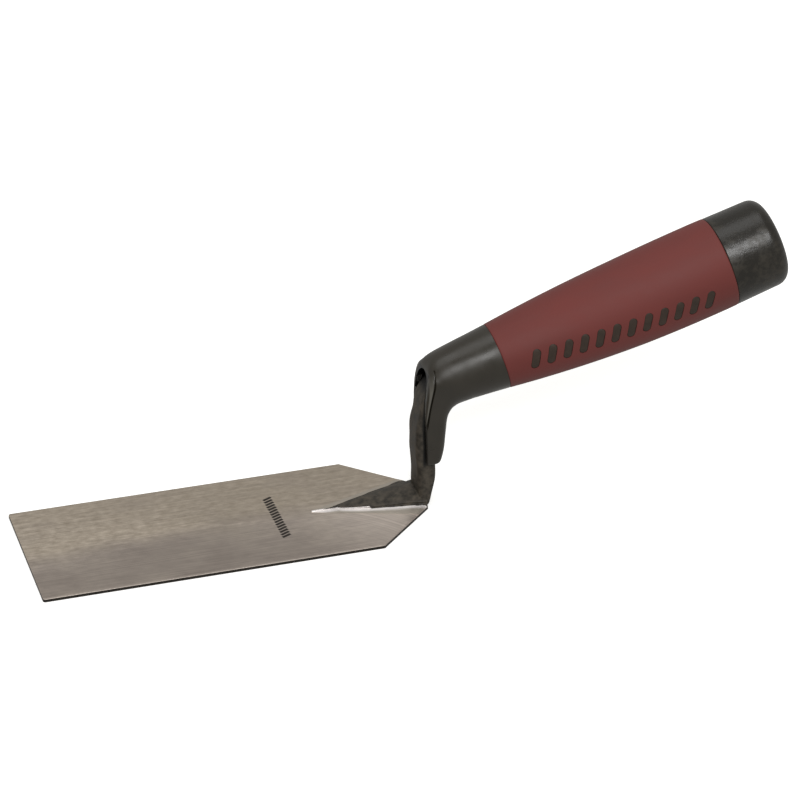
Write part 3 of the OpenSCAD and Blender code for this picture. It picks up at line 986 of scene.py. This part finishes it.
def sag(s):
    """How far the handle's middle line lies above its straight axis: it droops in the middle
    of the grip and rises at both ends, as two power curves that meet 70 mm along."""
    before = 1.2 * (np.clip(SAG_S - s, 0, None) / 64) ** 1.5
    after = 0.6 * (np.clip(s - SAG_S, 0, None) / 45) ** 1.5
    return before + after - 0.45


def handle_radius(s):
    """The handle's radius: a collar that flares as a power curve, a grip that swells as
    another up to 94 mm, and a butt that draws in evenly."""
    collar = COLLAR_R + COLLAR_FLARE * (np.clip(s - COLLAR_S, 0, None) / (GRIP_START - COLLAR_S)) ** 1.2
    grip = SWELL_R - NARROWING * (np.clip(SWELL_S - s, 0, None) / (SWELL_S - GRIP_START)) ** 2.12
    butt = SWELL_R - 0.018 * np.clip(s - SWELL_S - 3, 0, None)
    return np.where(s < GRIP_START, collar, np.where(s < SWELL_S, grip, butt))


def turned(s, radius, count, lift):
    """Rings of a turned shape along the handle's axis, each lifted a little above it."""
    angle = np.linspace(0, 2 * np.pi, count, endpoint=False)
    up = radius[:, None] * np.cos(angle) + lift[:, None]
    y = radius[:, None] * np.sin(angle) * np.ones_like(up)
    x = AXIS_X + s[:, None] * ALONG[0] + up * UPWARD[0]
    z = AXIS_Z + s[:, None] * ALONG[1] + up * UPWARD[1]
    return np.stack([x, y, z], axis=-1)


def neck_rings():
    """The neck's sections: rounded rectangles hung between a front and a rear line, which
    become circles on the handle's axis where the collar begins."""
    collar = []
    for s in (13.0, 17.0, 21.0, GRIP_START):
        r = float(handle_radius(np.array(s - 1e-6)))
        middle = np.array([AXIS_X, AXIS_Z]) + s * ALONG + sag(s) * UPWARD
        front, rear = middle + r * UPWARD, middle - r * UPWARD
        collar.append([*front, *rear, 2 * r, r, r])
    rows = smooth_rows(NECK + collar, 12)
    front, rear = rows[:, :2], rows[:, 2:4]
    depth = np.linalg.norm(rear - front, axis=1)
    across = (rear - front) / depth[:, None]
    limit = np.minimum(depth, rows[:, 4]) / 2 - 0.02
    section = rounded(
        depth, rows[:, 4], np.minimum(rows[:, 5], limit), np.minimum(rows[:, 6], limit), arc=14, flat=30
    )
    return carried((front + rear) / 2, across, section)


def groove_x(z):
    """Where the groove beside the steel runs, as x for a height: it leans back going up."""
    return GROOVE_FOOT + z * GROOVE_LEAN


def lipped(rings):
    """Rings whose sides stand slightly proud in front of the groove, as a bell curve of the
    distance from its line, so that the lip that holds the steel has a round edge."""
    x, y, z = rings[..., 0], rings[..., 1], rings[..., 2]
    away = x - groove_x(z) + 0.9
    run = ease(z, 28, 34) * (1 - ease(z, 45, 49)) * ease(np.abs(y), 3.5, 5.2)
    moved = rings.copy()
    moved[..., 1] = y + np.sign(y) * 0.25 * np.exp(-((away / 0.5) ** 2)) * run
    return moved


def groove_cutters(rings, depth):
    """A wedge for each side that cuts the groove: its rings are level V shapes along the
    groove's line, as deep as asked in the middle of its run and running out at both ends.
    The face they cut is the largest y among the neck's points within 0.5 mm, seen sideways."""
    z = np.linspace(GROOVE_LOW, GROOVE_HIGH, 40)
    flat = rings.reshape(-1, 3)
    face = np.array(
        [flat[np.hypot(flat[:, 0] - groove_x(h), flat[:, 2] - h) < 0.5, 1].max() for h in z]
    )
    deep = depth * ease(z, GROOVE_LOW, 30) * (1 - ease(z, 47.5, GROOVE_HIGH)) - 0.05
    x = groove_x(z)[:, None] + np.array([0.12, 0.34, 0.34, -0.34, -0.34, -0.12])
    y = face[:, None] + np.array([-1.0, 0, 0, 0, 0, -1.0]) * deep[:, None]
    y[:, 1] = face - 0.05
    y[:, 4] = face - 0.05
    y[:, 2:4] = face[:, None] + 1.5
    level = np.repeat(z[:, None], 6, axis=1)
    return [skin(np.stack([x, side * y, level], axis=-1), steps=2) for side in (-1, 1)]


def front_cutters():
    """A slot on each side of the steel, let into the guard's front edge down to its tip, as
    boxes whose rings are level."""
    z = np.linspace(SLOT_LOW, SLOT_HIGH, 20)
    level = np.repeat(z[:, None], 4, axis=1)
    x = 62.4 + 0 * level + np.array([-2.0, 1.5, 1.5, -2.0])
    y = np.array([4.8, 4.8, 5.75, 5.75]) + 0 * level
    y[:, 2:] -= (0.35 * ease(z, 26, 31) + 0.3 * ease(z, 38, SLOT_HIGH))[:, None]
    return [skin(np.stack([x, side * y, level], axis=-1), steps=2) for side in (-1, 1)]


def mouth_cutter():
    """A slot with a round top, carried back from in front of the handle into the crank."""
    half_turn = np.linspace(0, np.pi, 33)
    centre = MOUTH_TOP - MOUTH_R
    y = np.concatenate([MOUTH_R * np.cos(half_turn), np.linspace(-MOUTH_R, MOUTH_R, 8)])
    z = np.concatenate([centre + MOUTH_R * np.sin(half_turn), np.full(8, MOUTH_FOOT)])
    x = np.linspace(58, CRANK_X + 5, 6)
    return np.stack([0 * y, y, z], axis=-1) + x[:, None, None] * np.array([1.0, 0, 0])


def spine_rings(sleeve, count):
    """The core under the sleeve and the spigot behind it: a turned shape, thinner than the
    handle by the sleeve, that steps in at both ends."""
    s = np.linspace(GRIP_START, GRIP_END, 40)
    under = handle_radius(s + 1e-6) - sleeve
    s = np.concatenate([s, [GRIP_END, GRIP_END + SPIGOT_LONG - 1, GRIP_END + SPIGOT_LONG]])
    radius = np.concatenate([under, [SPIGOT_R, SPIGOT_R, SPIGOT_R - 1]])
    lift = np.concatenate([sag(s[:-3]), [0, 0, 0]])
    return turned(s, radius, count, lift)


class TROWEL_OT_core(bpy.types.Operator):
    """Build the moulded core: neck, collar, spine and spigot, open for the steel"""

    bl_idname = "trowel.core"
    bl_label = "Handle core"

    def execute(self, context):
        sizes = context.scene.trowel_handle
        neck = lipped(neck_rings())
        made = piece("handle_core_moulding", *skin(neck, steps=8))
        join_solids(made, piece("spine", *skin(spine_rings(sizes.sleeve, 96))), "UNION")
        channel = np.concatenate([riser_line(0.1), tang_rings(0.15)])
        join_solids(made, piece("channel", *skin(channel)), "DIFFERENCE")
        join_solids(made, piece("mouth", *skin(mouth_cutter())), "DIFFERENCE")
        for cutter in groove_cutters(neck, sizes.groove) + front_cutters():
            join_solids(made, piece("groove", *cutter), "DIFFERENCE")
        # The mouth's inside, as far back as the channel for the steel shows, which is painted as shade.
        x, y, z = places(made).T
        mark(made, "recess", (np.abs(y) < MOUTH_R + 0.06) * (z > 36) * (z < MOUTH_TOP + 0.05) * (x < 71))
        crisp(made, 40)
        hand_over(made, "handle_core", core_plastic(sizes))
        return {"FINISHED"}


BAR_PITCH = 5.2
BAR_LONG = 6.6
BAR_WIDE = 2.6
BAR_LEAN = np.radians(24)
BAR_ROOT = 6.0


def bar_rings(number, count, side, grow, out):
    """One leaning bar, cut across the handle. Its outline is a stadium, its root is flat,
    and its face follows the grip, with a small rounding where it turns down."""
    along = (number - (count - 1) / 2) * BAR_PITCH
    s0 = (GRIP_START + GRIP_END) / 2 + along
    h0 = -(0.6 + 0.06 * along)
    turn = np.linspace(-np.pi / 2, np.pi / 2, 11)
    reach = (BAR_LONG - BAR_WIDE) / 2
    r = BAR_WIDE / 2 + grow
    end = np.stack([reach + r * np.cos(turn), r * np.sin(turn)], axis=1)
    outline = np.concatenate([end, -end])
    inset = np.array([0, 0, 0.05, 0.14, 0.45, 0.8])[:, None, None]
    drop = np.array([0, 0.14, 0.05, 0, 0, 0])
    shape = outline[None] * (1 - inset / (BAR_WIDE / 2))
    h = h0 + shape[..., 0] * np.cos(BAR_LEAN) - shape[..., 1] * np.sin(BAR_LEAN)
    s = s0 + shape[..., 0] * np.sin(BAR_LEAN) + shape[..., 1] * np.cos(BAR_LEAN)
    skin_y = np.sqrt(np.maximum(handle_radius(s) ** 2 - (h - sag(s)) ** 2, 1))
    y = skin_y + out - drop[:, None]
    y[0] = BAR_ROOT
    x = AXIS_X + s * ALONG[0] + h * UPWARD[0]
    z = AXIS_Z + s * ALONG[1] + h * UPWARD[1]
    return np.stack([x, side * y, z], axis=-1)


def all_bars(count, grow, out):
    """The bars of both sides, as one skin."""
    return together(
        [
            facing_out(*skin(bar_rings(number, count, side, grow, out), steps=2))
            for side in (-1, 1)
            for number in range(count)
        ]
    )


class TROWEL_OT_bars(bpy.types.Operator):
    """Build the leaning bars of the core that show through the sleeve"""

    bl_idname = "trowel.bars"
    bl_label = "Inlay bars"

    def execute(self, context):
        sizes = context.scene.trowel_handle
        made = piece("inlay_bars", *all_bars(sizes.bars, -0.03, 0.0))
        crisp(made, 50)
        hand_over(made, "handle_core", bar_plastic())
        return {"FINISHED"}


def sleeve_rings(thick):
    """The soft sleeve as one closed loop turned about the axis: its outside with rounded
    ends, and back along its inside. The rings run round that loop."""
    edge = 0.5
    quarter = np.linspace(0, np.pi / 2, 6)
    body = np.linspace(GRIP_START + edge, GRIP_END - edge, 90)
    first = GRIP_START + edge * (1 - np.cos(quarter[:-1]))
    last = GRIP_END - edge * (1 - np.sin(quarter[1:]))
    s = np.concatenate([first, body, last])
    lowered = drawn_in(np.minimum(s - GRIP_START, GRIP_END - s), edge)
    outside = handle_radius(np.maximum(s, GRIP_START)) + 0.04 - lowered
    inside_s = np.linspace(GRIP_END, GRIP_START, 40)
    inside = handle_radius(np.maximum(inside_s, GRIP_START)) - thick
    loop_s = np.concatenate([s, inside_s])
    return turned(loop_s, np.concatenate([outside, inside]), 144, sag(loop_s))


def hoop(rings):
    """A skin that is closed both ways, with no ends and so no triangles."""
    n, m = rings.shape[:2]
    index = np.arange(n * m).reshape(n, m)
    right = np.roll(index, -1, axis=1)
    below = np.roll(index, -1, axis=0)
    corner = np.roll(right, -1, axis=0)
    quads = np.stack([index, right, corner, below], axis=-1).reshape(-1, 4)
    return rings.reshape(-1, 3), quads, np.empty((0, 3), int)


class TROWEL_OT_grip(bpy.types.Operator):
    """Build the soft sleeve with its windows"""

    bl_idname = "trowel.grip"
    bl_label = "Grip sleeve"

    def execute(self, context):
        sizes = context.scene.trowel_handle
        made = piece("grip_sleeve_moulding", *hoop(sleeve_rings(sizes.sleeve)))
        join_solids(made, piece("windows", *all_bars(sizes.bars, 0.03, 2.0)), "DIFFERENCE")
        crisp(made, 40)
        hand_over(made, "grip_sleeve", soft_rubber(sizes))
        return {"FINISHED"}


def cap_rings():
    """The butt cap turned about the axis as one closed loop: its band, a large rounded rim,
    a flat end with a shallow dimple, and the blind socket for the spigot."""
    rim = 4.2
    edge = 0.3
    socket_r = SPIGOT_R + 0.05
    socket_end = GRIP_END + SPIGOT_LONG + 0.4
    quarter = np.linspace(0, np.pi / 2, 14)
    band = np.linspace(GRIP_END + edge, HANDLE_END - rim, 24)
    band_r = handle_radius(band) - 0.01
    last = band_r[-1]
    s = np.concatenate(
        [
            np.full(8, GRIP_END),
            GRIP_END + edge * (1 - np.cos(quarter[2::4])),
            band,
            HANDLE_END - rim + rim * np.sin(quarter[1:]),
            [HANDLE_END, HANDLE_END, HANDLE_END, HANDLE_END - 0.25, HANDLE_END - 0.3],
        ]
    )
    radius = np.concatenate(
        [
            np.linspace(socket_r, band_r[0] - edge, 8),
            band_r[0] - edge + edge * np.sin(quarter[2::4]),
            band_r,
            last - rim + rim * np.cos(quarter[1:]),
            [7.5, 4.5, 2.2, 1.9, 0.9],
        ]
    )
    outer = turned(s, radius, 128, np.where(s < HANDLE_END - 1, sag(s), sag(HANDLE_END - 1.0)))
    hole_s = np.array([socket_end, socket_end, socket_end, GRIP_END + 6])
    hole = turned(hole_s, np.array([2.0, 5.0, socket_r, socket_r]), 128, hole_s * 0)
    return np.concatenate([hole, outer])


class TROWEL_OT_cap(bpy.types.Operator):
    """Build the butt cap"""

    bl_idname = "trowel.cap"
    bl_label = "Butt cap"

    def execute(self, context):
        sizes = context.scene.trowel_handle
        made = piece("butt_cap_moulding", *skin(cap_rings(), steps=2))
        crisp(made, 40)
        hand_over(made, "butt_cap", cap_plastic(sizes))
        return {"FINISHED"}


# --- The stage -----------------------------------------------------------------------------

# The view: degrees round from the side, up from level and rolled, the point in the middle
# of the object that it is measured from, and the camera's way from that point.
VIEW_TURN = 17.83
VIEW_HEIGHT = 29.95
VIEW_ROLL = 0.72
VIEW_POINT = np.array([40, 0, 35])
VIEW_BACK = 1065.68
VIEW_RIGHT = 15.378
VIEW_UP = 3.748
LENS = 155.41

FLOOR_R = 1500.0
FLOOR_T = 4.0
FLOOR_GAP = 0.02


def placement(right, upright, back, at):
    """An object's placement from its own X, Y and Z directions and its place, in metres."""
    rows = np.eye(4)
    rows[:3, :3] = np.stack([right, upright, back], axis=1)
    rows[:3, 3] = at
    return Matrix(rows.tolist())


def softbox(name, at, target, wide, high, power, up):
    """A rectangular area light, in metres and watts, turned to face a point. Its height lies
    as near to the direction up as it can."""
    light = bpy.data.lights.new(name, "AREA")
    light.shape = "RECTANGLE"
    light.size = wide
    light.size_y = high
    light.energy = power
    made = bpy.data.objects.new(name, light)
    back = np.array(at, float) - np.array(target, float)
    back /= np.linalg.norm(back)
    right = np.cross(up, back)
    right /= np.linalg.norm(right)
    made.matrix_world = placement(right, np.cross(back, right), back, at)
    bpy.context.scene.collection.objects.link(made)


def set_camera():
    """A long lens that looks at the trowel's near side from above."""
    turn, height, roll = np.radians([VIEW_TURN, VIEW_HEIGHT, VIEW_ROLL])
    back = np.array([-np.sin(turn) * np.cos(height), -np.cos(turn) * np.cos(height), np.sin(height)])
    level = np.array([np.cos(turn), -np.sin(turn), 0])
    up = np.cross(back, level)
    right = level * np.cos(roll) + up * np.sin(roll)
    upright = up * np.cos(roll) - level * np.sin(roll)
    at = VIEW_POINT + back * VIEW_BACK + right * VIEW_RIGHT + upright * VIEW_UP
    lens = bpy.data.cameras.new("camera")
    lens.lens = LENS
    lens.sensor_width = 36
    lens.clip_start = 0.05
    lens.dof.use_dof = False
    made = bpy.data.objects.new("camera", lens)
    made.matrix_world = placement(right, upright, back, at * MM)
    bpy.context.scene.collection.objects.link(made)
    bpy.context.scene.camera = made


def floor_rings():
    """A round sheet with a small thickness, just under the blade."""
    angle = np.linspace(0, 2 * np.pi, 96, endpoint=False)
    x = VIEW_POINT[0] + FLOOR_R * np.cos(angle)
    circle = np.stack([x, FLOOR_R * np.sin(angle), angle * 0 - FLOOR_GAP], axis=1)
    return np.stack([circle - [0, 0, FLOOR_T], circle])


class TROWEL_OT_stage(bpy.types.Operator):
    """Set up the floor, the lights and the camera"""

    bl_idname = "trowel.stage"
    bl_label = "Stage"

    def execute(self, context):
        sizes = context.scene.trowel_stage
        floor = piece("floor", *skin(floor_rings(), steps=6))
        crisp(floor, 30)
        material, tree, shader, place = start_material("matt_floor_paint")
        # A faint roller texture of about 2 mm.
        roller = add(tree, "ShaderNodeTexNoise", {"Vector": place, "Scale": 500.0, "Detail": 2.0})
        colour = add(
            tree, "ShaderNodeMix", {0: roller, 6: tint(sizes.floor, 0.99), 7: rgba(sizes.floor)},
            out=2, data_type="RGBA",
        )
        # The table is lit from below as well, which thins the shadows.
        connect(
            tree, shader,
            {"Base Color": colour, "Roughness": 0.95, "Specular IOR Level": 0.0,
             "Emission Color": (1, 1, 1, 1), "Emission Strength": 0.42},
        )
        floor.data.materials.append(material)
        # The object doesn't see the table in its reflections, as if it hung above it.
        floor.visible_glossy = False
        floor.visible_diffuse = False
        world = bpy.data.worlds.new("studio")
        world.use_nodes = True
        sky = world.node_tree.nodes["Background"]
        connect(world.node_tree, sky, {"Color": rgba(linear("#f3f2ef")), "Strength": 0.53})
        context.scene.world = world
        softbox("key", (0.05, -0.75, 0.8), (0.1, 0, 0.04), 0.5, 0.32, 6.0, up=(0, 0, 1))
        softbox("overhead", (-0.1, 0.15, 1.1), (0.05, 0, 0.03), 0.9, 0.6, 2.5, up=(0, 1, 0))
        context.scene.view_settings.view_transform = "Standard"
        set_camera()
        return {"FINISHED"}


class TROWEL_PT_panel(bpy.types.Panel):
    """Lists each group of sizes with the operators that use it"""

    bl_idname = "TROWEL_PT_panel"
    bl_label = "Margin trowel"
    bl_space_type = "VIEW_3D"
    bl_region_type = "UI"
    bl_category = "Trowel"

    def draw(self, context):
        for name, groups in GROUPS.items():
            box = self.layout.box()
            sizes = getattr(context.scene, name)
            for key in sizes.bl_rna.properties.keys():
                if key not in ("rna_type", "name"):
                    box.prop(sizes, key)
            for operator in groups[1]:
                box.operator(operator.bl_idname)


GROUPS = {
    "trowel_blade": (BladeSizes, [TROWEL_OT_blade]),
    "trowel_shank": (ShankSizes, [TROWEL_OT_shank]),
    "trowel_handle": (HandleSizes, [TROWEL_OT_core, TROWEL_OT_bars, TROWEL_OT_grip, TROWEL_OT_cap]),
    "trowel_stage": (StageSizes, [TROWEL_OT_stage]),
}


def register():
    for name, (sizes, operators) in GROUPS.items():
        bpy.utils.register_class(sizes)
        setattr(bpy.types.Scene, name, PointerProperty(type=sizes))
        for operator in operators:
            bpy.utils.register_class(operator)
    bpy.utils.register_class(TROWEL_PT_panel)


def unregister():
    bpy.utils.unregister_class(TROWEL_PT_panel)
    for name, (sizes, operators) in GROUPS.items():
        for operator in operators:
            bpy.utils.unregister_class(operator)
        delattr(bpy.types.Scene, name)
        bpy.utils.unregister_class(sizes)


def main():
    register()
    bpy.ops.trowel.stage()
    bpy.ops.trowel.blade()
    bpy.ops.trowel.shank()
    bpy.ops.trowel.core()
    bpy.ops.trowel.bars()
    bpy.ops.trowel.grip()
    bpy.ops.trowel.cap()


if __name__ == "__main__":
    main()
